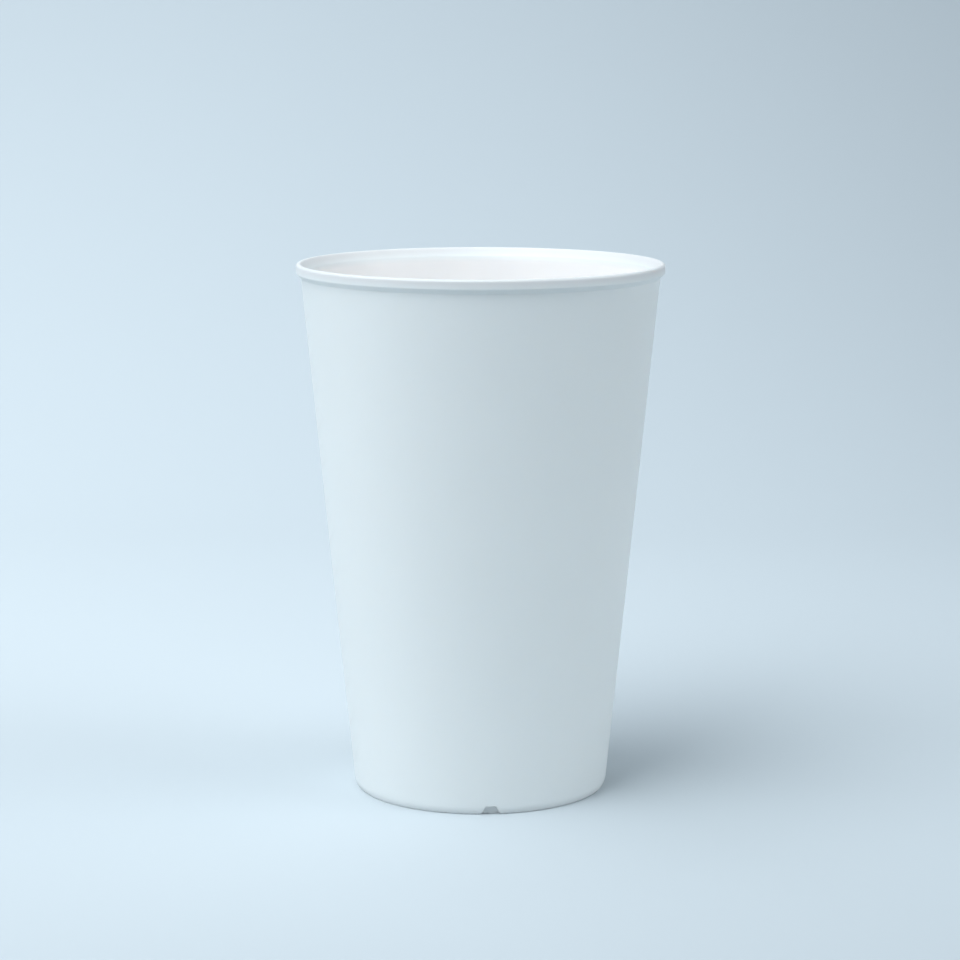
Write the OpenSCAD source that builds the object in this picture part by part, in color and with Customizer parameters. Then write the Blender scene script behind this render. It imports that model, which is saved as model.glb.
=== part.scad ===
// Reusable coffee cup, moulded in one piece.
// A straight tapered wall carries a rounded lip that a press-on lid grips, and stands
// on a foot ring with drain notches. Sizes are in millimetres, and the origin is the
// centre of the plane that the foot ring stands on, with +Z up the cup's axis.

/* [Cup] */
// Height from the resting plane to the top of the lip
cup_h = 130.4; // [110:0.1:160]
// Outside diameter of the lip, which the lid grips
lip_d = 90; // [84:0.1:98]
// Diameter of the wall's taper where it reaches the resting plane
foot_d = 62.6; // [56:0.1:70]
// Thickness of the wall, measured level
wall_t = 1.5; // [1.2:0.1:2.2]
// Thickness of the floor
floor_t = 1.8; // [1.2:0.1:3]
// Radius of the fillet inside, between floor and wall
floor_fillet = 4; // [1:0.1:7]

/* [Lip] */
// How far the lip stands out from the wall under it
lip_out = 1.15; // [0.7:0.05:1.3]
// Height of the lip, from its underside to its top
lip_h = 3.2; // [3:0.1:5]
// Radius of the round over the lip's top
lip_top_round = 1.1; // [0.8:0.05:1.1]
// Radius of the round that takes the lip's outer face in to the wall below
lip_under_round = 1.8; // [0.5:0.05:2]
// How far down inside the cup the lip's bevel reaches
lip_bevel_h = 2.2; // [2:0.1:3]

/* [Foot] */
// Width of the flat on which the cup stands
foot_flat_w = 1.4; // [0.8:0.1:3]
// Radius of the round that takes the wall in to that flat
foot_round = 3; // [1:0.1:4]
// Size of the bevel on the foot ring's inner edge
foot_bevel = 0.3; // [0.1:0.05:0.5]
// Depth of the recess under the floor
recess_h = 3; // [2.6:0.1:4]
// Radius of the fillet between the recess's side and its roof
recess_fillet = 0.8; // [0.2:0.1:1.4]
// Draft of the recess's side, in degrees
recess_draft = 6; // [0:1:15]

/* [Drain notches] */
// Number of notches cut through the foot ring
notch_count = 3; // [2:1:8]
// Width of a notch where it opens on the resting plane
notch_w = 4.7; // [3:0.1:8]
// Width of a notch at its flat top
notch_top_w = 2.5; // [1:0.1:3]
// Height of a notch
notch_h = 2.1; // [1:0.1:2.4]
// Direction of the first notch, counted anticlockwise from +X
notch_turn = -85.4; // [-180:0.1:180]

/* [Gate mark] */
// Diameter of the shallow dish round the moulding gate
gate_d = 7; // [5:0.5:12]
// Depth of that dish
gate_depth = 0.5; // [0.3:0.05:0.7]
// Diameter of the stub that the gate leaves
gate_stub_d = 1.4; // [0.8:0.1:2]
// Length of that stub
gate_stub_h = 0.35; // [0.1:0.05:0.5]

/* [Hidden] */
$fn = 192;

// Largest turn between two neighbouring points of a round in the section, in degrees
arc_step = 9;
// Extra length by which a cutting shape runs past the surface that it cuts
over = 2;
// How far the gate stub is rooted in the floor
stub_root = 0.4;

lip_r = lip_d / 2;
foot_r = foot_d / 2;

// Levels up the axis
lip_under_z = cup_h - lip_h;
lip_bevel_z = cup_h - lip_bevel_h;
floor_z = recess_h + floor_t;

// The wall's taper: radius gained for each millimetre of height, and its angle
wall_slope = (lip_r - lip_out - foot_r) / lip_under_z;
wall_angle = atan(wall_slope);

// Radius of the wall's outer and inner face at height z
function outer_r(z) = foot_r + wall_slope * z;
function inner_r(z) = outer_r(z) - wall_t;

// Points along an arc about a centre, from angle a to angle b, both ends included.
// With first = 1 the arc leaves out its first point, which the line already holds.
function arc(centre, r, a, b, first = 0) =
    let (steps = ceil(abs(b - a) / arc_step))
    [for (i = [first : steps])
        let (turn = a + (b - a) * i / steps)
        centre + r * [cos(turn), sin(turn)]];

// Direction, seen from a circle's centre, of the point where a line from p touches
// the circle on the side nearer to the axis
function touch_angle(centre, r, p) =
    let (d = p - centre)
    atan2(d[1], d[0]) + 360 - acos(r / norm(d));

// The foot's outer side, a round that runs from the resting flat into the wall
foot_c = [outer_r(foot_round) - foot_round / cos(wall_angle), foot_round];
foot_line = arc(foot_c, foot_round, -90, -wall_angle);

// The recess under the floor: its filleted roof and a side with draft, down to the
// bevelled inner edge of the foot ring
ring_in_r = foot_c[0] - foot_flat_w - foot_bevel;
recess_fillet_c = [
    ring_in_r - (recess_h - recess_fillet) * tan(recess_draft) - recess_fillet / cos(recess_draft),
    recess_h - recess_fillet,
];
recess_line = concat(
    [[0, recess_h]],
    arc(recess_fillet_c, recess_fillet, 90, recess_draft),
    [
        [ring_in_r - foot_bevel * tan(recess_draft), foot_bevel],
        [ring_in_r + foot_bevel, 0],
    ]
);

// The lip: a round under its outer edge that starts at the wall, an upright face,
// a round top, and a bevel down to the inside of the wall
under_reach = max(lip_under_round - lip_out, 0);
under_turn = acos(under_reach / lip_under_round);
lip_under_c = [lip_r - lip_under_round, lip_under_z + lip_under_round * sin(under_turn)];
lip_top_c = [lip_r - lip_top_round, cup_h - lip_top_round];
bevel_end = [inner_r(lip_bevel_z), lip_bevel_z];
lip_line = concat(
    [[outer_r(lip_under_z), lip_under_z]],
    arc(lip_under_c, lip_under_round, -under_turn, 0),
    arc(lip_top_c, lip_top_round, 0, 90),
    arc(lip_top_c, lip_top_round, 90, touch_angle(lip_top_c, lip_top_round, bevel_end), first = 1),
    [bevel_end]
);

// The inside: down the wall to the floor's fillet, and in to the axis
fillet_z = floor_z + floor_fillet;
fillet_c = [inner_r(fillet_z) - floor_fillet / cos(wall_angle), fillet_z];
inside_line = concat(
    arc(fillet_c, floor_fillet, -wall_angle, -90),
    [[0, floor_z]]
);

// The cup's wall, floor, lip and foot ring in one section, turned about the axis
module shell() {
    rotate_extrude()
        polygon(concat(recess_line, foot_line, lip_line, inside_line));
}

// One notch through the foot ring, along +X, with sides that lean in towards its flat top
module drain_notch() {
    lean = (notch_w - notch_top_w) / 2 / notch_h;
    mouth_w = notch_w + 2 * lean * over;
    start_r = ring_in_r - over;
    translate([start_r, 0, 0])
        rotate([90, 0, 90])
            linear_extrude(foot_r + over - start_r)
                polygon([
                    [-mouth_w / 2, -over],
                    [mouth_w / 2, -over],
                    [notch_top_w / 2, notch_h],
                    [-notch_top_w / 2, notch_h],
                ]);
}

// Shallow dish in the recess's roof, round the point where the mould was filled
module gate_dish() {
    dish_r = (pow(gate_d / 2, 2) + pow(gate_depth, 2)) / 2 / gate_depth;
    translate([0, 0, recess_h + gate_depth - dish_r])
        sphere(r = dish_r);
}

// Stub left where the gate broke off, standing in the dish
module gate_stub() {
    translate([0, 0, recess_h + gate_depth - gate_stub_h])
        cylinder(d = gate_stub_d, h = gate_stub_h + stub_root);
}

// The whole cup
module cup() {
    color("whitesmoke")
        union() {
            difference() {
                shell();
                for (i = [0 : notch_count - 1])
                    rotate(notch_turn + i * 360 / notch_count)
                        drain_notch();
                gate_dish();
            }
            gate_stub();
        }
}

cup();
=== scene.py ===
"""Reusable coffee cup, moulded in white polypropylene, on a pale blue paper sweep.

Sizes are in millimetres and become metres when a mesh is made. The cup stands on the plane
z = 0 with its axis on the Z axis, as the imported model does.
"""
import logging
import math
from dataclasses import dataclass, field
from enum import Enum

import bpy
import numpy as np
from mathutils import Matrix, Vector


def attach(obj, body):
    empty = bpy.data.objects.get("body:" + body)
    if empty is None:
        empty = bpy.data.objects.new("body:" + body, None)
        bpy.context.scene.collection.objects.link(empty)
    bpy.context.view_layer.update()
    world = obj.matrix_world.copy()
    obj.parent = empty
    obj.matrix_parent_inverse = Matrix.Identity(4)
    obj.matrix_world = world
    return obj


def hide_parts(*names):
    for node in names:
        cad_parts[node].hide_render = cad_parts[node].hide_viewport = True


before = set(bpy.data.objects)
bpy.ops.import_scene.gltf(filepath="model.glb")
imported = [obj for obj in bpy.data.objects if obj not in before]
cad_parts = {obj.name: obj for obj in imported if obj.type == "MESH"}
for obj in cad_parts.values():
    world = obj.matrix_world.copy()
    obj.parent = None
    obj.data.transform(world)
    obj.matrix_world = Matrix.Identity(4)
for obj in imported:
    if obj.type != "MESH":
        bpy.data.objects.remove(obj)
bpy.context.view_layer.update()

MM = 0.001
SAME = 1e-6  # mm by which two equal distances may differ
PICTURE_SIDE = 960  # pixels along each side of the photograph's frame

log = logging.getLogger("cup")


def linear(hex_colour: str) -> tuple[float, float, float, float]:
    """Turns an sRGB hex colour into linear red, green, blue and an alpha of 1.

    Args:
        hex_colour: Six hex digits with a leading #.

    Returns:
        The colour as Blender's sockets take it.
    """
    parts = [int(hex_colour[i:i + 2], 16) / 255 for i in (1, 3, 5)]
    red, green, blue = (
        p / 12.92 if p <= 0.04045 else ((p + 0.055) / 1.055) ** 2.4 for p in parts
    )
    return red, green, blue, 1.0


def smoothstep(values: np.ndarray, start: float, end: float) -> np.ndarray:
    """Runs smoothly from 0 at start to 1 at end: 3s^2 - 2s^3 of the share s of the way.

    Args:
        values: Where to read it.
        start: Value at which it leaves 0.
        end: Value at which it reaches 1, which may be the lower one.

    Returns:
        The weights, in the shape of values.
    """
    share = np.clip((values - start) / (end - start), 0.0, 1.0)
    return share * share * (3.0 - 2.0 * share)


def arc(
    centre: tuple[float, float], radius: float, start: float, end: float, steps: int,
) -> np.ndarray:
    """Points along an arc: centre plus radius times (cos, sin) of evenly spaced angles.

    Args:
        centre: Radius and height of the arc's centre.
        radius: The arc's radius.
        start: Angle of the first point, in degrees from the outward direction.
        end: Angle of the last point, in degrees.
        steps: Number of equal steps between them.

    Returns:
        Array of steps + 1 points as (radius, height).
    """
    turn = np.radians(np.linspace(start, end, steps + 1))
    return np.stack([centre[0] + radius * np.cos(turn), centre[1] + radius * np.sin(turn)], axis=1)


def straight(first: np.ndarray, last: np.ndarray, steps: int) -> np.ndarray:
    """Points inside a straight stretch, closer together towards its ends.

    The share of the way is (1 - cos(pi k / steps)) / 2, so that the shading of a long face
    isn't drawn in to the round beside it. Both end points are left out.

    Args:
        first: Point before the stretch, as (radius, height).
        last: Point after it.
        steps: Number of steps from first to last.

    Returns:
        Array of steps - 1 points.
    """
    share = (1.0 - np.cos(np.pi * np.arange(1, steps) / steps)) / 2.0
    return np.asarray(first) + share[:, None] * (np.asarray(last) - np.asarray(first))


def turned_mesh(
    name: str, radius: np.ndarray, height: np.ndarray, turn: np.ndarray,
) -> bpy.types.Mesh:
    """Makes a closed mesh from a section that is turned about the Z axis.

    Row i and column j give the point (radius cos turn, radius sin turn, height). The first and
    the last row lie on the axis, so each becomes one pole point with a fan of triangles. The
    rows run from the underside out and up, over the lip and down inside, and the columns run
    anticlockwise, so the faces point outwards.

    Args:
        name: Name of the mesh.
        radius: Distances from the axis in mm, one row per section point and one column per turn.
        height: Heights in mm, in the same shape.
        turn: Angles in radians, in the same shape.

    Returns:
        The mesh, in metres, with smooth shading.
    """
    rows, columns = radius.shape
    grid = np.stack([radius * np.cos(turn), radius * np.sin(turn), height], axis=2) * MM
    poles = np.array([[0.0, 0.0, height[0, 0]], [0.0, 0.0, height[-1, 0]]]) * MM
    points = np.concatenate([grid[1:-1].reshape(-1, 3), poles])
    low_pole, high_pole = len(points) - 2, len(points) - 1

    index = np.arange((rows - 2) * columns).reshape(rows - 2, columns)
    beside = np.roll(index, -1, axis=1)
    quads = np.stack([index[:-1], beside[:-1], beside[1:], index[1:]], axis=2).reshape(-1, 4)
    low_fan = np.stack([np.full(columns, low_pole), beside[0], index[0]], axis=1)
    high_fan = np.stack([np.full(columns, high_pole), index[-1], beside[-1]], axis=1)

    corners = np.concatenate([quads.ravel(), low_fan.ravel(), high_fan.ravel()])
    sides = np.concatenate([np.full(len(quads), 4), np.full(2 * columns, 3)])
    starts = np.concatenate([[0], np.cumsum(sides)[:-1]])

    mesh = bpy.data.meshes.new(name)
    mesh.vertices.add(len(points))
    mesh.vertices.foreach_set("co", points.astype(np.float32).ravel())
    mesh.loops.add(len(corners))
    mesh.loops.foreach_set("vertex_index", corners.astype(np.int32))
    mesh.polygons.add(len(sides))
    mesh.polygons.foreach_set("loop_start", starts.astype(np.int32))
    mesh.polygons.foreach_set("use_smooth", np.ones(len(sides), bool))
    mesh.update(calc_edges=True)
    mesh.validate()
    return mesh


def place(name: str, mesh: bpy.types.Mesh, finish: bpy.types.Material) -> bpy.types.Object:
    """Puts a mesh in the scene as an object at the origin, with one material.

    Args:
        name: Name of the object.
        mesh: Its mesh, already in its place.
        finish: Its material.

    Returns:
        The object.
    """
    piece = bpy.data.objects.new(name, mesh)
    mesh.materials.append(finish)
    bpy.context.scene.collection.objects.link(piece)
    return piece


class NodeTree:
    """A material's nodes, with one method that adds a node with its settings and links."""

    def __init__(self, name: str) -> None:
        """Starts an empty node tree in a new material.

        Args:
            name: Name of the material.
        """
        self.material = bpy.data.materials.new(name)
        self.material.use_nodes = True
        self.tree = self.material.node_tree
        self.tree.nodes.clear()

    def add(self, kind: str, settings: dict | None = None, **sockets: object) -> bpy.types.Node:
        """Adds a node.

        Args:
            kind: Blender's name for the node's type, without its ShaderNode prefix.
            settings: The node's own settings by name.
            **sockets: Values or sockets for its inputs. An underscore stands for a space, and
                in_0, in_1 and so on give an input by its place.

        Returns:
            The node.
        """
        node = self.tree.nodes.new("ShaderNode" + kind)
        for key, value in (settings or {}).items():
            setattr(node, key, value)
        for key, value in sockets.items():
            socket = node.inputs[int(key[3:]) if key.startswith("in_") else key.replace("_", " ")]
            if isinstance(value, bpy.types.NodeSocket):
                self.tree.links.new(value, socket)
            else:
                socket.default_value = value
        return node


class SurfaceMark(Enum):
    """Attributes by which the cup's mesh tells its material how each part was finished, and where
    its white is painted lighter or darker.
    """

    POLISH_AND_LIGHT = "polish_and_light"
    WEAR_AND_SHADE = "wear_and_shade"


@dataclass(frozen=True)
class MouldedPolypropylene:
    """White polypropylene, injection-moulded.

    The mould's outside is spark-eroded to a fine satin, so the wall has a soft, broad sheen. The
    core inside is polished, which leaves the inside a little glossier. The outside's white is
    painted greyer, painted shade, and the inside's whiter, painted light, though both are one
    resin.
    The resin lets some light in, so edges look soft.
    """

    name: str = "moulded_white_polypropylene"
    # The outside's white is painted greyer, painted shade, and the inside's whiter, painted light
    outside_white_shaded: str = "#E6E9E8"
    inside_white_lit: str = "#F6F3F1"
    ior: float = 1.49
    satin_roughness: float = 0.46
    polished_roughness: float = 0.34
    scuffed_roughness: float = 0.58
    # Tint by which scuffed places are darkened: painted shade over the lip's top and the foot's
    # bottom
    painted_shade_tint: str = "#F5F2F2"
    # Share of the light that enters the resin, and how far each colour spreads in it
    glow: float = 0.3
    glow_depth_mm: float = 1.2
    glow_colours: tuple[float, float, float] = (1.0, 0.92, 0.84)
    # Flow of the resin through the mould: a cloudiness some centimetres across, and the share
    # by which it darkens the white
    flow_mm: float = 38.0
    flow_detail: float = 2.0
    flow_shade: float = 0.025
    # The eroded grain is about 0.1 mm, too fine to show, so it is drawn at 0.45 mm
    grain_mm: float = 0.45
    grain_detail: float = 3.0
    grain_depth_mm: float = 0.004
    grain_strength: float = 0.6
    # Fine scratches where the cup is stacked and wiped
    scuff_mm: float = 2.2
    scuff_detail: float = 6.0
    scuff_coarseness: float = 0.7

    def material(self) -> bpy.types.Material:
        """Makes the material's nodes.

        The mesh's inside mark, 1 inside the cup and 0 outside, chooses the roughness and the white:
        the inside's white has painted light in it and the outside's painted shade. Its second mark,
        1 where the cup rubs, roughens it with scuffs and darkens its white: painted shade over the
        lip's top and the foot's lowest millimetres. Noise about flow_mm across shades the white,
        and noise about grain_mm across gives the satin relief.

        Returns:
            The material.
        """
        nodes = NodeTree(self.name)
        place_on_cup = nodes.add("TexCoord").outputs["Object"]
        polish_and_light = nodes.add("Attribute", {"attribute_name": SurfaceMark.POLISH_AND_LIGHT.value})
        wear_and_shade = nodes.add("Attribute", {"attribute_name": SurfaceMark.WEAR_AND_SHADE.value})
        lit_and_shaded_whites = nodes.add(
            "Mix", {"data_type": "RGBA"}, in_0=polish_and_light.outputs["Fac"],
            in_6=linear(self.outside_white_shaded), in_7=linear(self.inside_white_lit),
        )
        flow = nodes.add(
            "TexNoise", Vector=place_on_cup, Scale=1 / (self.flow_mm * MM),
            Detail=self.flow_detail,
        )
        shade = nodes.add(
            "MapRange", Value=flow.outputs["Fac"], To_Min=1.0, To_Max=1.0 - self.flow_shade,
        )
        clouded = nodes.add(
            "Mix", {"data_type": "RGBA", "blend_type": "MULTIPLY"}, in_0=1.0,
            in_6=lit_and_shaded_whites.outputs[2], in_7=shade.outputs[0],
        )
        shaded_white = nodes.add(
            "Mix", {"data_type": "RGBA", "blend_type": "MULTIPLY"}, in_0=wear_and_shade.outputs["Fac"],
            in_6=clouded.outputs[2], in_7=linear(self.painted_shade_tint),
        )
        scuff = nodes.add(
            "TexNoise", Vector=place_on_cup, Scale=1 / (self.scuff_mm * MM),
            Detail=self.scuff_detail, Roughness=self.scuff_coarseness,
        )
        scuffed = nodes.add(
            "Math", {"operation": "MULTIPLY"}, in_0=wear_and_shade.outputs["Fac"],
            in_1=scuff.outputs["Fac"],
        )
        smooth = nodes.add(
            "MapRange", Value=polish_and_light.outputs["Fac"],
            To_Min=self.satin_roughness, To_Max=self.polished_roughness,
        )
        rough = nodes.add(
            "Mix", {"data_type": "FLOAT"}, in_0=scuffed.outputs[0],
            in_2=smooth.outputs[0], in_3=self.scuffed_roughness,
        )
        grain = nodes.add(
            "TexNoise", Vector=place_on_cup, Scale=1 / (self.grain_mm * MM),
            Detail=self.grain_detail,
        )
        relief = nodes.add(
            "Bump", Height=grain.outputs["Fac"], Distance=self.grain_depth_mm * MM,
            Strength=self.grain_strength,
        )
        shader = nodes.add(
            "BsdfPrincipled",
            Base_Color=shaded_white.outputs[2], Roughness=rough.outputs[0], IOR=self.ior,
            Normal=relief.outputs[0],
            Subsurface_Weight=self.glow, Subsurface_Scale=self.glow_depth_mm * MM,
            Subsurface_Radius=self.glow_colours,
        )
        nodes.add("OutputMaterial", Surface=shader.outputs[0])
        return nodes.material


@dataclass(frozen=True)
class SweepPaper:
    """Pale blue background paper, uncoated and matt."""

    name: str = "matt_background_paper"
    blue: str = "#C6CED2"
    roughness: float = 0.9
    specular: float = 0.2

    def material(self) -> bpy.types.Material:
        """Makes the material's nodes.

        Returns:
            The material.
        """
        nodes = NodeTree(self.name)
        shader = nodes.add(
            "BsdfPrincipled", Base_Color=linear(self.blue), Roughness=self.roughness,
            Specular_IOR_Level=self.specular,
        )
        nodes.add("OutputMaterial", Surface=shader.outputs[0])
        return nodes.material


@dataclass(frozen=True)
class FootNotches:
    """Notches in the foot's outer edge, with sloped sides, a flat roof and a closed back."""

    count: int = 3
    width: float = 4.7
    top_width: float = 2.5
    height: float = 2.1
    # How far the back lies behind the wall's face at the notch's top, and how far it leans
    depth: float = 1.4
    back_draft: float = 0.2
    # Direction of the first notch in degrees, anticlockwise from +X
    first_turn: float = -85.4
    edge_round: float = 0.25
    # Small bevel along a notch's outer edge, and the rise over which it grows to full size
    edge_bevel: float = 0.12
    edge_bevel_run: float = 0.36
    # Where the mesh has columns: distances from an edge, and from the middle out to the last one
    edge_columns: tuple[float, ...] = (-0.2, -0.12, -0.05, 0.05, 0.12, 0.2)
    middle_columns: tuple[float, ...] = (0.0, 0.42, 0.84)
    reach: float = 2.75
    # Where it has rows: shares of the way out across the foot's flat, up the notch's back and
    # out along its roof
    flat_rows: tuple[float, ...] = (0.15, 0.85, 0.97)
    back_rows: tuple[float, ...] = (0.0, 0.1, 0.5, 0.9, 1.0)
    roof_rows: tuple[float, ...] = (0.06, 0.5, 0.92, 1.0)

    def turns(self) -> np.ndarray:
        """Angles of the notches about the axis, in radians."""
        return np.radians(self.first_turn + np.arange(self.count) * 360.0 / self.count)

    def rise(self, across: np.ndarray) -> np.ndarray:
        """Height of the notch's roof above the resting plane.

        It is a trapezoid: the sloped side's height, (half width - distance) / lean, held
        between 0 and the notch's height, with each corner rounded by a short parabola.

        Args:
            across: Distances in mm from the notch's middle, along the ring.

        Returns:
            Heights in mm, 0 outside the notch.
        """
        lean = (self.width - self.top_width) / 2 / self.height
        side = (self.width / 2 - np.abs(across)) / lean

        def blend(gap: np.ndarray) -> np.ndarray:
            """Height of the parabola, (round - gap)^2 / (4 round), that cuts a corner."""
            return np.maximum(self.edge_round - np.abs(gap), 0.0) ** 2 / (4 * self.edge_round)

        roof = np.minimum(side, self.height) - blend(side - self.height)
        return np.maximum(roof, 0.0) + blend(roof)

    def columns(self) -> np.ndarray:
        """Where the mesh has columns beside a notch.

        They lie at set distances from the four corners of the notch's outline, halfway along
        its sloped sides, and at set distances from its middle, the same on both sides of it.

        Returns:
            Distances in mm from the notch's middle, in order.
        """
        edges = np.array([-self.width, -self.top_width, self.top_width, self.width]) / 2
        beside = (edges[:, None] + np.array(self.edge_columns)).ravel()
        on_side = (self.width + self.top_width) / 4
        between = np.array([*self.middle_columns, on_side, self.reach])
        return np.unique(np.round(np.concatenate([beside, between, -between]), 6))


@dataclass(frozen=True)
class SectionSteps:
    """Numbers of steps in which the stretches of the section are drawn."""

    dish: int = 8
    recess_roof: int = 6
    recess_fillet: int = 8
    recess_side: int = 3
    foot_edge: int = 4
    foot_round: int = 12
    foot_wall: int = 4
    wall: int = 14
    lip_cove: int = 6
    lip_slope: int = 3
    lip_under_round: int = 8
    lip_face: int = 3
    lip_top: int = 12
    lip_bevel: int = 5
    floor_fillet: int = 14
    floor: int = 8


@dataclass(frozen=True)
class CupSection:
    """Half section of the cup as (radius, height), in millimetres.

    Names end in _d for a diameter, _r for a radius, _h for a height and _t for a thickness.
    Angles are in degrees.
    """

    cup_h: float = 130.4
    lip_d: float = 90.0
    foot_d: float = 62.6
    wall_t: float = 1.5
    floor_t: float = 1.8
    floor_fillet: float = 4.0
    lip_out: float = 1.15
    lip_h: float = 3.2
    lip_top_round: float = 0.7
    # The lip's underside slopes in to the wall by lip_under_turn from upright, between a round
    # at the lip's face and a cove that ends lip_reach below the lip's top
    lip_under_round: float = 0.4
    lip_under_turn: float = 45.0
    lip_cove: float = 0.4
    lip_reach: float = 3.6
    lip_bevel_h: float = 2.2
    # The wall ends in a round that turns in by foot_turn, and a small round under it
    foot_round: float = 4.0
    foot_turn: float = 35.0
    foot_edge: float = 0.3
    # The ring that the cup stands on, from its inner edge with a bevel, and the recess inside it
    ring_in_r: float = 26.88
    foot_bevel: float = 0.3
    recess_h: float = 3.0
    recess_fillet: float = 0.8
    recess_draft: float = 6.0
    # The gate's dish, the stub in it with its rounded edge, and how close to the dish's own
    # edge and to the stub's foot the mesh has its rings
    gate_d: float = 7.0
    gate_depth: float = 0.5
    gate_rim: float = 0.1
    gate_stub_d: float = 1.4
    gate_stub_h: float = 0.35
    gate_stub_edge: float = 0.1
    gate_stub_foot: float = 0.04
    # Height up to which a notch lifts the points of the foot's outer side
    lifted: float = 3.6
    steps: SectionSteps = field(default_factory=SectionSteps)

    @property
    def foot_r(self) -> float:
        """Radius of the wall's taper where it reaches the resting plane."""
        return self.foot_d / 2

    @property
    def slope(self) -> float:
        """Radius that the wall gains for each millimetre of height."""
        return (self.lip_d / 2 - self.lip_out - self.foot_r) / (self.cup_h - self.lip_h)

    @property
    def lean(self) -> float:
        """Angle of the wall from upright, in degrees."""
        return math.degrees(math.atan(self.slope))

    def outer_r(self, height: float) -> float:
        """Radius of the wall's outer face at a height."""
        return self.foot_r + self.slope * height

    def inner_r(self, height: float) -> float:
        """Radius of the wall's inner face at a height."""
        return self.outer_r(height) - self.wall_t

    def foot_centre(self) -> tuple[float, float]:
        """Centre of the round that the wall ends in.

        It is high enough for the small round under it to rest on the plane. Level with it, the
        wall's line is the radius over cos(lean) away, so that the round touches that line.

        Returns:
            The centre as (radius, height).
        """
        drop = (self.foot_round - self.foot_edge) * math.sin(math.radians(self.foot_turn))
        height = self.foot_edge + drop
        return self.outer_r(height) - self.foot_round / math.cos(math.radians(self.lean)), height

    def foot_end(self) -> np.ndarray:
        """Point of the wall's outer face where the foot's stretch ends."""
        return np.array([self.outer_r(self.lifted), self.lifted])

    def bevel_end(self) -> np.ndarray:
        """Point of the wall's inner face where the lip's bevel ends."""
        height = self.cup_h - self.lip_bevel_h
        return np.array([self.inner_r(height), height])

    def gate(self) -> np.ndarray:
        """Section of the gate mark from the axis out: the stub, then the dish round it.

        The dish is part of a circle through the roof with its lowest depth on the axis: its
        radius is (half width^2 + depth^2) / (2 depth).

        Returns:
            Points from the axis to just inside the dish's edge.
        """
        stub_r, dish_half = self.gate_stub_d / 2, self.gate_d / 2
        dish_top = self.recess_h + self.gate_depth
        dish_r = (dish_half ** 2 + self.gate_depth ** 2) / 2 / self.gate_depth
        across = np.linspace(
            stub_r + self.gate_stub_foot, dish_half - self.gate_rim, self.steps.dish + 1,
        )
        dish = np.stack([across, dish_top - dish_r + np.sqrt(dish_r ** 2 - across ** 2)], axis=1)
        stub_z = dish_top - self.gate_stub_h
        # The middle of a round lies about 0.3 of its radius in from the corner, across and up
        edge, corner = self.gate_stub_edge, 0.3 * self.gate_stub_edge
        stub = np.array([
            [0.0, stub_z], [stub_r / 2, stub_z], [stub_r - edge, stub_z],
            [stub_r - corner, stub_z + corner], [stub_r, stub_z + edge],
            [stub_r, dish[0, 1] - self.gate_stub_foot],
        ])
        return np.concatenate([stub, dish])

    def underside(self) -> np.ndarray:
        """Section of the recess from the axis out: gate mark, roof, fillet, side and bevel.

        Returns:
            Points from the axis to the inner edge of the foot ring's flat.
        """
        draft = math.radians(self.recess_draft)
        below = self.recess_h - self.recess_fillet
        centre = (
            self.ring_in_r - below * math.tan(draft) - self.recess_fillet / math.cos(draft), below,
        )
        fillet = arc(centre, self.recess_fillet, 90.0, self.recess_draft, self.steps.recess_fillet)
        bevel = np.array([
            [self.ring_in_r - self.foot_bevel * math.tan(draft), self.foot_bevel],
            [self.ring_in_r + self.foot_bevel, 0.0],
        ])
        roof_start = np.array([self.gate_d / 2 + self.gate_rim, self.recess_h])
        return np.concatenate([
            self.gate(), [roof_start], straight(roof_start, fillet[0], self.steps.recess_roof),
            fillet, straight(fillet[-1], bevel[0], self.steps.recess_side), bevel,
        ])

    def foot_side(self, fineness: int = 1) -> np.ndarray:
        """Outside of the foot from the resting plane up to the lifted height.

        The small round's centre lies on the line from the wall's round through the point where
        the two touch, foot_turn degrees below level.

        Args:
            fineness: How many times as many steps as usual the rounds have.

        Returns:
            Points along both rounds and the start of the wall.
        """
        reach = (self.foot_round - self.foot_edge) * math.cos(math.radians(self.foot_turn))
        centre = self.foot_centre()
        edge = arc(
            (centre[0] + reach, self.foot_edge), self.foot_edge, -90.0, -self.foot_turn,
            fineness * self.steps.foot_edge,
        )
        rounding = arc(
            centre, self.foot_round, -self.foot_turn, -self.lean, fineness * self.steps.foot_round,
        )
        end = self.foot_end()
        return np.concatenate([
            edge, rounding[1:], straight(rounding[-1], end, self.steps.foot_wall), [end],
        ])

    def lip_underside(self) -> np.ndarray:
        """Cove, slope and round from the wall out to the lip's upright face.

        The cove touches the wall lip_reach below the lip's top. From its end the slope rises
        to the round's start, by the distance between the two across over the turn's tangent.

        Returns:
            Points from the wall to the lower end of the upright face.
        """
        lip_r, turn = self.lip_d / 2, math.radians(self.lip_under_turn)
        cove_z, lean = self.cup_h - self.lip_reach, math.radians(self.lean)
        cove_centre = (
            self.outer_r(cove_z) + self.lip_cove * math.cos(lean),
            cove_z - self.lip_cove * math.sin(lean),
        )
        cove = arc(
            cove_centre, self.lip_cove, 180.0 - self.lean, 180.0 - self.lip_under_turn,
            self.steps.lip_cove,
        )
        round_in = lip_r - self.lip_under_round * (1.0 - math.cos(turn))
        slope_end = cove[-1, 1] + (round_in - cove[-1, 0]) / math.tan(turn)
        round_centre = (
            lip_r - self.lip_under_round, slope_end + self.lip_under_round * math.sin(turn),
        )
        rounding = arc(
            round_centre, self.lip_under_round, -self.lip_under_turn, 0.0,
            self.steps.lip_under_round,
        )
        slope = straight(cove[-1], rounding[0], self.steps.lip_slope)
        return np.concatenate([cove, slope, rounding])

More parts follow.
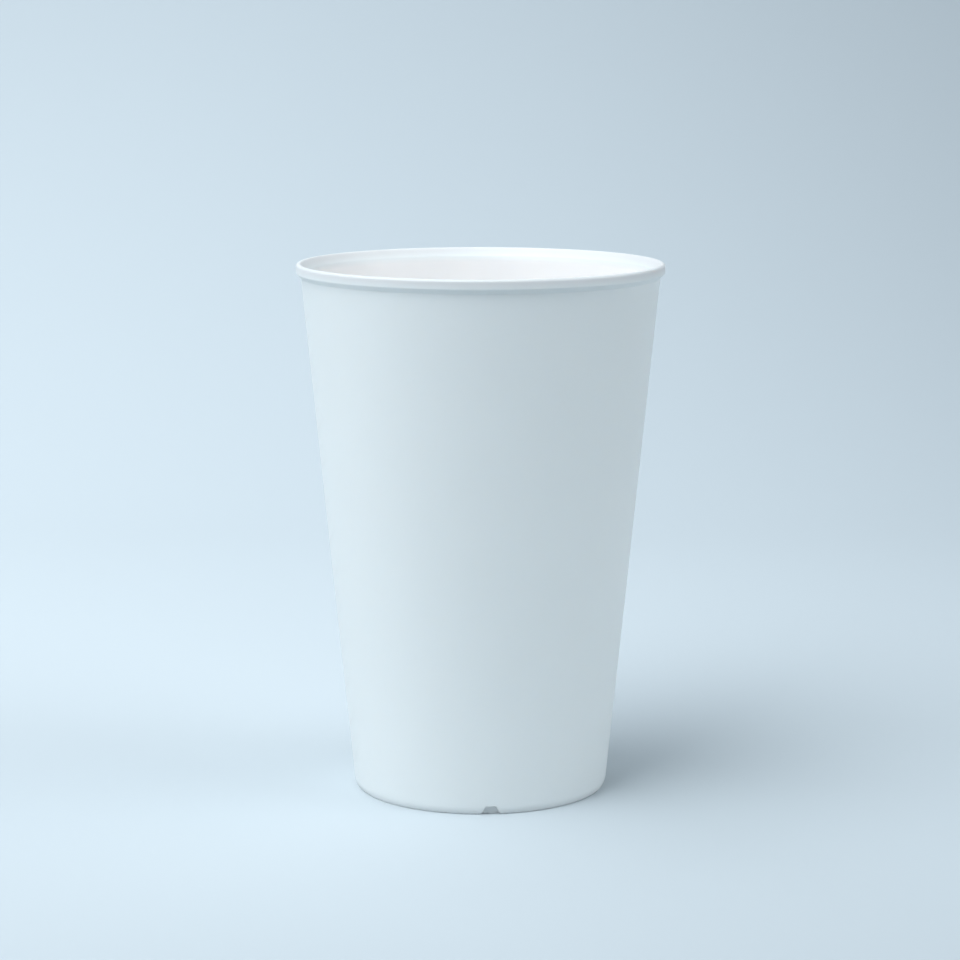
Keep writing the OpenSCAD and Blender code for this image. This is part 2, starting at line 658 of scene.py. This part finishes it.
    def lip_top(self) -> np.ndarray:
        """Round over the lip's top, up to where the bevel's line touches it.

        Seen from the round's centre, the touching point lies acos(radius / distance) before the
        direction of the bevel's other end.

        Returns:
            Points from the upper end of the upright face to the bevel's start.
        """
        centre = (self.lip_d / 2 - self.lip_top_round, self.cup_h - self.lip_top_round)
        away = self.bevel_end() - np.array(centre)
        touch = math.degrees(
            math.atan2(away[1], away[0]) + math.tau
            - math.acos(self.lip_top_round / math.hypot(*away))
        )
        return np.concatenate([
            arc(centre, self.lip_top_round, 0.0, 90.0, self.steps.lip_top),
            arc(centre, self.lip_top_round, 90.0, touch, self.steps.lip_top)[1:],
        ])

    def wall_and_lip(self) -> np.ndarray:
        """Outside of the wall, then the lip: underside, upright face, top and inside bevel.

        Returns:
            Points from the lifted height up the wall and over the lip to the inside wall.
        """
        under, top, bevel_end = self.lip_underside(), self.lip_top(), self.bevel_end()
        return np.concatenate([
            straight(self.foot_end(), under[0], self.steps.wall), under,
            straight(under[-1], top[0], self.steps.lip_face), top,
            straight(top[-1], bevel_end, self.steps.lip_bevel), [bevel_end],
        ])

    def inside(self) -> np.ndarray:
        """Inside of the wall down to the floor's fillet, and the floor in to the axis.

        Returns:
            Points from below the lip's bevel to the axis.
        """
        floor_z = self.recess_h + self.floor_t
        fillet_z = floor_z + self.floor_fillet
        across = self.floor_fillet / math.cos(math.radians(self.lean))
        centre = (self.inner_r(fillet_z) - across, fillet_z)
        fillet = arc(centre, self.floor_fillet, -self.lean, -90.0, self.steps.floor_fillet)
        middle = np.array([0.0, floor_z])
        return np.concatenate([
            straight(self.bevel_end(), fillet[0], self.steps.wall), fillet,
            straight(fillet[-1], middle, self.steps.floor), [middle],
        ])


@dataclass
class Cup:
    """The whole cup: wall, lip, floor, foot ring, its notches and gate mark, in one moulding."""

    section: CupSection = field(default_factory=CupSection)
    notches: FootNotches = field(default_factory=FootNotches)
    finish: MouldedPolypropylene = field(default_factory=MouldedPolypropylene)
    # Degrees between two columns of the mesh, and the share of that kept free beside a notch
    turn_step: float = 1.25
    clear_share: float = 0.4
    # How many times finer the foot's outline is than its rows, which are read from it
    outline_fineness: int = 15
    # Beside a notch the columns run parallel to its middle: not at all at the first radius and
    # height, and fully from the second ones on
    parallel_radii: tuple[float, float] = (27.5, 29.8)
    parallel_heights: tuple[float, float] = (16.0, 3.2)
    # Scuffing and painted shade at the foot: how strong, and the height at which they end
    shade_and_rub_at_foot: float = 0.5
    shade_and_rub_height_at_foot: float = 2.5
    # Depths under the lip's top at which scuffing and painted shade start and are full
    shade_and_rub_depths_at_lip: tuple[float, float] = (2.6, 0.8)

    def columns(self) -> tuple[np.ndarray, np.ndarray, np.ndarray]:
        """Angles at which the section is drawn: even ones, and closer ones at each notch.

        Returns:
            The angles in radians; each one's distance in mm from the nearest notch's middle,
            along the foot ring; and that notch's angle in radians.
        """
        ring_r = self.section.foot_r
        centres = self.notches.turns()
        near = np.arcsin(self.notches.columns() / ring_r)
        even = np.radians(np.arange(0.0, 360.0, self.turn_step))
        gap = np.abs(np.angle(np.exp(1j * (even[:, None] - centres[None, :])))).min(axis=1)
        keep = even[gap > near[-1] + math.radians(self.turn_step) * self.clear_share]
        turns = np.mod(np.concatenate([keep, (centres[:, None] + near[None, :]).ravel()]), math.tau)
        turns = np.sort(turns)
        offset = np.angle(np.exp(1j * (turns[:, None] - centres[None, :])))
        nearest = np.abs(offset).argmin(axis=1)
        offset = offset[np.arange(len(turns)), nearest]
        return turns, ring_r * np.sin(offset), turns - offset

    def foot(self, rise: np.ndarray) -> tuple[np.ndarray, np.ndarray]:
        """Section of the foot ring at each column, cut away where there is a notch.

        A point of the outer side at height z goes to base + z (top - base) / top, with base the
        notch's roof plus a small bevel, and takes the radius that the plain section has there.
        Under it lie the notch's roof, its back, which goes from the roof down to the resting
        plane, and the flat. Outside the notches the roof's height is 0, so all three are flat.

        Args:
            rise: Height of the notch's roof at each column, in mm.

        Returns:
            Radii and heights, one row per section point and one column per turn.
        """
        size, notch = self.section, self.notches
        outside, fine = size.foot_side(), size.foot_side(self.outline_fineness)
        base = rise + notch.edge_bevel * smoothstep(rise, 0.0, notch.edge_bevel_run)
        outside_z = base + outside[:, 1:] * (size.lifted - base) / size.lifted
        outside_r = np.interp(outside_z, fine[:, 1], fine[:, 0])

        back = size.outer_r(notch.height) - notch.depth
        front = back + notch.back_draft
        flat_in = size.ring_in_r + size.foot_bevel
        flat_r = flat_in + np.array(notch.flat_rows)[:, None] * (back - flat_in)
        up_back = np.array(notch.back_rows)[:, None]
        along_roof = np.array(notch.roof_rows)[:, None]
        mouth = np.interp(rise, fine[:, 1], fine[:, 0]) - notch.edge_bevel
        shape = (len(flat_r), len(rise))
        radius = [
            np.broadcast_to(flat_r, shape), back + notch.back_draft * up_back + 0.0 * rise,
            front + along_roof * (mouth - front), outside_r,
        ]
        height = [np.zeros(shape), up_back * rise, rise + 0.0 * along_roof, outside_z]
        return np.concatenate(radius), np.concatenate(height)

    def marks(self, level: np.ndarray, inside_rows: int) -> dict[SurfaceMark, np.ndarray]:
        """Finish of each row: polished and painted lighter on the inside, and scuffed and painted
        darker at the foot and the lip.

        Args:
            level: Mean height of each row in mm.
            inside_rows: Number of rows of the inside, which are the last ones.

        Returns:
            For each mark its value in each row, from 0 to 1.
        """
        polish_and_light = np.zeros(len(level))
        polish_and_light[-inside_rows:] = 1.0
        start, full = (self.section.cup_h - depth for depth in self.shade_and_rub_depths_at_lip)
        foot = self.shade_and_rub_at_foot * smoothstep(level, self.shade_and_rub_height_at_foot, 0.0)
        wear_and_shade = np.clip(foot + smoothstep(level, start, full), 0.0, 1.0)
        return {SurfaceMark.POLISH_AND_LIGHT: polish_and_light, SurfaceMark.WEAR_AND_SHADE: wear_and_shade}

    def mesh(self) -> bpy.types.Mesh:
        """Builds the cup's surface.

        The section is turned about the axis. Near a notch a column keeps its distance from the
        notch's middle instead of its angle, turn = notch + arcsin(distance / radius), so that
        the notch's sides are flat and parallel to its middle; this fades out up the wall and
        in towards the recess, and the recess and the inside keep to even angles.

        Returns:
            The mesh, with its surface marks as attributes.
        """
        turns, across, centre = self.columns()
        under, inside = self.section.underside(), self.section.inside()

        def spread(line: np.ndarray) -> tuple[np.ndarray, np.ndarray]:
            """Radii and heights of a stretch of the section, the same in every column."""
            shape = (len(line), len(turns))
            return np.broadcast_to(line[:, :1], shape), np.broadcast_to(line[:, 1:], shape)

        parts = [
            spread(under), self.foot(self.notches.rise(across)),
            spread(self.section.wall_and_lip()), spread(inside),
        ]
        radius = np.concatenate([part[0] for part in parts])
        height = np.concatenate([part[1] for part in parts])

        beside_notch = np.abs(across) <= self.notches.reach + SAME
        kept = beside_notch * smoothstep(radius, *self.parallel_radii)
        kept *= smoothstep(height, *self.parallel_heights)
        kept[:len(under)] = 0.0
        kept[-len(inside):] = 0.0
        share = across / np.maximum(radius, self.parallel_radii[0])
        parallel = centre + np.arcsin(np.clip(share, -1.0, 1.0))
        turn = (1.0 - kept) * turns + kept * parallel
        mesh = turned_mesh("cup_moulding", radius, height, turn)

        for mark, rows in self.marks(height.mean(axis=1), len(inside)).items():
            values = np.concatenate([np.repeat(rows[1:-1], len(turns)), rows[[0, -1]]])
            layer = mesh.attributes.new(mark.value, "FLOAT", "POINT")
            layer.data.foreach_set("value", values.astype(np.float32))
        return mesh

    def build(self) -> bpy.types.Object:
        """Builds and dresses the cup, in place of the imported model's node.

        Returns:
            The cup's object.
        """
        piece = place("cup_white", self.mesh(), self.finish.material())
        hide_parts("cup")
        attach(piece, "root")
        return piece


@dataclass
class PaperSweep:
    """Sheet of background paper: a floor that turns up behind the cup into a backdrop."""

    finish: SweepPaper = field(default_factory=SweepPaper)
    half_width: float = 2200.0
    front: float = -2200.0
    turn_start: float = 330.0
    turn_radius: float = 620.0
    top: float = 2600.0
    floor_steps: int = 23
    bend_steps: int = 48
    upright_steps: int = 11
    width_steps: int = 24

    def build(self) -> bpy.types.Object:
        """Builds the sheet: floor line, quarter circle and upright line, carried along X.

        Returns:
            The sheet's object.
        """
        floor_y = np.linspace(self.front, self.turn_start, self.floor_steps + 1)[:-1]
        upright_z = np.linspace(self.turn_radius, self.top, self.upright_steps + 1)[1:]
        upright_y = np.full(self.upright_steps, self.turn_start + self.turn_radius)
        line = np.concatenate([
            np.stack([floor_y, np.zeros(self.floor_steps)], axis=1),
            arc((self.turn_start, self.turn_radius), self.turn_radius, -90.0, 0.0, self.bend_steps),
            np.stack([upright_y, upright_z], axis=1),
        ])
        across = np.linspace(-self.half_width, self.half_width, self.width_steps + 1)
        shape = (len(line), len(across))
        points = np.stack([
            np.broadcast_to(across, shape),
            np.broadcast_to(line[:, :1], shape),
            np.broadcast_to(line[:, 1:], shape),
        ], axis=2).reshape(-1, 3) * MM
        index = np.arange(len(points)).reshape(shape)
        faces = np.stack([
            index[:-1, :-1], index[:-1, 1:], index[1:, 1:], index[1:, :-1],
        ], axis=2).reshape(-1, 4)
        mesh = bpy.data.meshes.new("paper_sweep")
        mesh.from_pydata(points.tolist(), [], faces.tolist())
        mesh.polygons.foreach_set("use_smooth", np.ones(len(faces), bool))
        mesh.update()
        piece = place("paper_sweep", mesh, self.finish.material())
        return piece


@dataclass(frozen=True)
class SoftLamp:
    """A square softbox at a place that faces an aim point, both in mm.

    The spread is the cone of its grid in degrees: 180 for an open softbox.
    """

    name: str
    place: tuple[float, float, float]
    side: float
    watts: float
    colour: str
    spread: float = 180.0
    aim: tuple[float, float, float] = (0.0, 0.0, 60.0)

    def build(self) -> bpy.types.Object:
        """Places the lamp.

        Returns:
            The lamp's object.
        """
        data = bpy.data.lights.new(self.name, "AREA")
        data.shape = "SQUARE"
        data.size = self.side * MM
        data.energy = self.watts
        data.spread = math.radians(self.spread)
        data.color = linear(self.colour)[:3]
        lamp = bpy.data.objects.new(self.name, data)
        lamp.location = Vector(self.place) * MM
        away = Vector(self.place) - Vector(self.aim)
        lamp.rotation_euler = away.to_track_quat("Z", "Y").to_euler()
        bpy.context.scene.collection.objects.link(lamp)
        return lamp


@dataclass
class Studio:
    """Light round the cup: softboxes at the left, behind and at the right, and the room's own."""

    lamps: tuple[SoftLamp, ...] = (
        # The key, which also lights the floor and the backdrop behind the cup's left side
        SoftLamp("softbox_left", (-566.0, -120.0, 749.0), 1200.0, 6.6, "#F3FAFF", 100.0,
                 (-200.0, 350.0, 0.0)),
        SoftLamp("softbox_back", (-400.0, 400.0, 1100.0), 700.0, 2.9, "#F0F8FF"),
        SoftLamp("softbox_right", (767.0, -279.0, 440.0), 600.0, 0.48, "#F0F9FF", 60.0),
        SoftLamp("softbox_right_high", (687.0, 60.0, 638.0), 600.0, 0.165, "#FBFBF8", 60.0),
    )
    room: str = "#D6EBFF"
    room_strength: float = 0.22

    def build(self) -> list[bpy.types.Object]:
        """Builds the lamps and the room's even light.

        Returns:
            The lamps' objects.
        """
        world = bpy.data.worlds.new("room_light")
        world.use_nodes = True
        background = world.node_tree.nodes["Background"]
        background.inputs["Color"].default_value = linear(self.room)
        background.inputs["Strength"].default_value = self.room_strength
        bpy.context.scene.world = world
        return [lamp.build() for lamp in self.lamps]


@dataclass(frozen=True)
class PhotoCamera:
    """Camera at the photograph's place, height, tilt and focal length.

    Lengths are in mm and angles in degrees. The focal length is in the photograph's pixels.
    """

    focal_pixels: float = 2828.0
    pitch: float = 9.527
    roll: float = -0.018
    distance: float = 699.1
    aim_height: float = 76.54
    aim_across: float = -0.15
    sensor: float = 36.0
    # Nearest and farthest distance that it draws
    nearest: float = 10.0
    farthest: float = 20000.0

    def build(self) -> bpy.types.Object:
        """Places the camera: it looks along +Y and down by the pitch, at the aim point.

        Returns:
            The camera's object, which is set as the scene's camera.
        """
        tilt = math.radians(self.pitch)
        ahead = Vector((0.0, math.cos(tilt), -math.sin(tilt)))
        data = bpy.data.cameras.new("photo_camera")
        data.sensor_width = self.sensor
        data.lens = self.focal_pixels / PICTURE_SIDE * self.sensor
        data.clip_start, data.clip_end = self.nearest * MM, self.farthest * MM
        camera = bpy.data.objects.new("photo_camera", data)
        aim = Vector((self.aim_across, 0.0, self.aim_height))
        camera.location = (aim - ahead * self.distance) * MM
        camera.rotation_euler = (math.radians(90.0) - tilt, math.radians(self.roll), 0.0)
        bpy.context.scene.collection.objects.link(camera)
        bpy.context.scene.camera = camera
        return camera


def main() -> None:
    """Builds the cup, the paper, the light and the camera, and reports each piece."""
    logging.basicConfig(level=logging.INFO, format="%(message)s")
    bpy.context.scene.view_settings.view_transform = "Standard"
    cup = Cup().build()
    log.info("cup: %d points, %d faces", len(cup.data.vertices), len(cup.data.polygons))
    sweep = PaperSweep().build()
    log.info("paper sweep: %d faces", len(sweep.data.polygons))
    for lamp in Studio().build():
        log.info("lamp %s: %.1f W", lamp.name, lamp.data.energy)
    camera = PhotoCamera().build()
    log.info("camera: %.1f mm lens", camera.data.lens)


if __name__ == "__main__":
    main()
